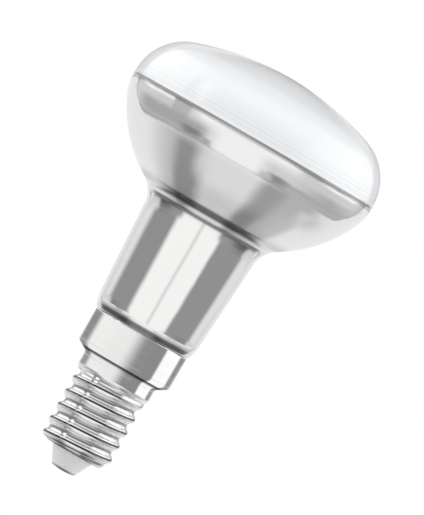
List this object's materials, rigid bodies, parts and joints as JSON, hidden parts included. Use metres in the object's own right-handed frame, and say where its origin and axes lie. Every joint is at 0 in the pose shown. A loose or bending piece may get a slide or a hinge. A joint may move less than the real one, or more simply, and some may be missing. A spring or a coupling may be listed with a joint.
{
  "type": "reflector bulb",
  "caption": "Reflector lamp with frosted domed front, silvered bowl, tapered glass neck and small screw cap, for spotlights and downlights.",
  "frame": {"origin": "middle of the end contact's flat land, the lowest point of the cap", "axes": "+Z runs along the lamp's axis from the end contact to the domed front; the lamp is round about it, apart from the thread"},
  "size_m": [0.05, 0.05, 0.083],
  "materials": {
    "silvered_frosted_glass": "clear gloss outside, frosted front and silvered bowl inside",
    "cement": "matt, cast",
    "nickel_plate": "bright, rolled sheet",
    "insulator_plastic": "satin, moulded",
    "contact_metal": "dull, pressed"
  },
  "bodies": {
    "root": {"bulb_envelope": "silvered_frosted_glass", "basing_cement": "cement", "cap_shell": "nickel_plate", "cap_insulator": "insulator_plastic", "end_contact": "contact_metal"}
  },
  "joints": []
}
